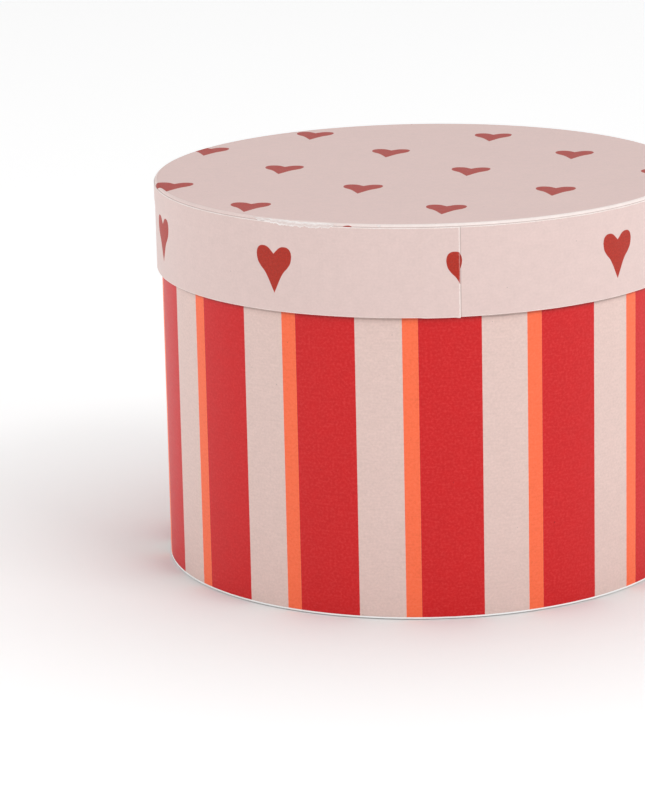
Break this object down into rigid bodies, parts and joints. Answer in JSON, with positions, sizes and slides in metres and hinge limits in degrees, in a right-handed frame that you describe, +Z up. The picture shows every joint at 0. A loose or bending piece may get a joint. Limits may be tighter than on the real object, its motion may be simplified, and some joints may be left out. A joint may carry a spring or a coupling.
{
  "type": "round hat box",
  "caption": "Round paper-covered board box with a flat lift-off lid: striped wall, heart-printed lid, plain lining.",
  "frame": {"origin": "centre of the base, on the surface that the box stands on", "axes": "+Z up along the round wall's axis; -Y is the front, and the lid's visible seam is 8 degrees to the right of it, towards +X"},
  "size_m": [0.2578, 0.2582, 0.1882],
  "materials": {
    "striped_paper": "satin printed paper, upright stripes of red, pale pink and orange that repeat every 59 mm",
    "heart_paper": "satin printed paper, pale pink with small dark red hearts in staggered rows",
    "white_card": "uncoated white card with a cut edge",
    "lining_paper": "plain off-white lining paper",
    "greyboard": "recycled grey-brown board",
    "kraft_tape": "brown gummed kraft tape"
  },
  "bodies": {
    "box": {"base_card": "white_card", "base_board": "greyboard", "base_lining": "lining_paper", "wall_board": "greyboard", "wall_joint_tape": "kraft_tape", "body_wrap": "striped_paper", "body_lining": "lining_paper"},
    "lid": {"lid_rim_board": "greyboard", "lid_top_board": "greyboard", "lid_top_lining": "lining_paper", "lid_rim_lining": "lining_paper", "lid_top_paper": "heart_paper", "lid_rim_paper": "heart_paper"}
  },
  "joints": [
    {"name": "lid_lift", "type": "slide", "parent": "box", "child": "lid", "axis": [0, 0, 1], "range_m": [0, 0.15]}
  ]
}
